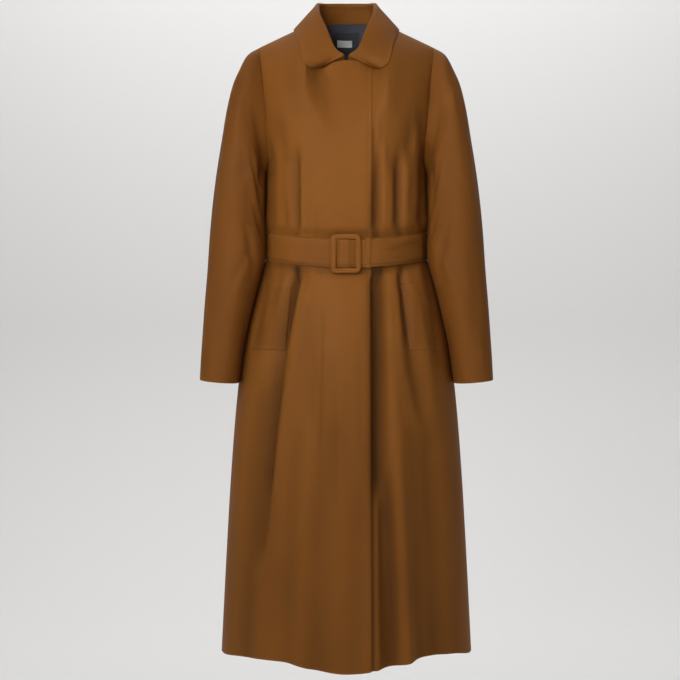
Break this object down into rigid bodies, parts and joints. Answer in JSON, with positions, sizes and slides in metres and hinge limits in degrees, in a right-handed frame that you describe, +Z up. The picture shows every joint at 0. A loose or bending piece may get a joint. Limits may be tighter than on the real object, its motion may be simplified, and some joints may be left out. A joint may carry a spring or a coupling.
{
  "type": "belted trench coat",
  "caption": "Long hollow coat of camel gabardine, belted at the waist with a covered buckle, wide collar, concealed front and slanted hip pockets.",
  "frame": {"origin": "middle of the neck base, where the wearer's shoulders carry the coat", "axes": "+Z up along the wearer, front faces -Y, +X is the wearer's left"},
  "size_m": [0.554, 0.4079, 1.2471],
  "materials": {
    "gabardine": "fine twill with a soft sheen",
    "gabardine_trim": "the same twill over a stiffened frame or strap",
    "lining": "smooth satin lining",
    "label_tape": "plain woven tape",
    "tab_tape": "plain woven tape"
  },
  "bodies": {
    "root": {"front_right": "gabardine", "front_left": "gabardine", "back_right": "gabardine", "back_left": "gabardine", "sleeve_right": "gabardine", "sleeve_left": "gabardine", "collar_stand": "gabardine", "collar_fall": "gabardine", "neck_lining": "lining", "neck_label": "label_tape", "size_tab": "tab_tape", "pocket_welt_right": "gabardine", "pocket_welt_left": "gabardine", "belt": "gabardine_trim", "belt_keeper": "gabardine_trim", "buckle": "gabardine_trim"}
  },
  "joints": []
}
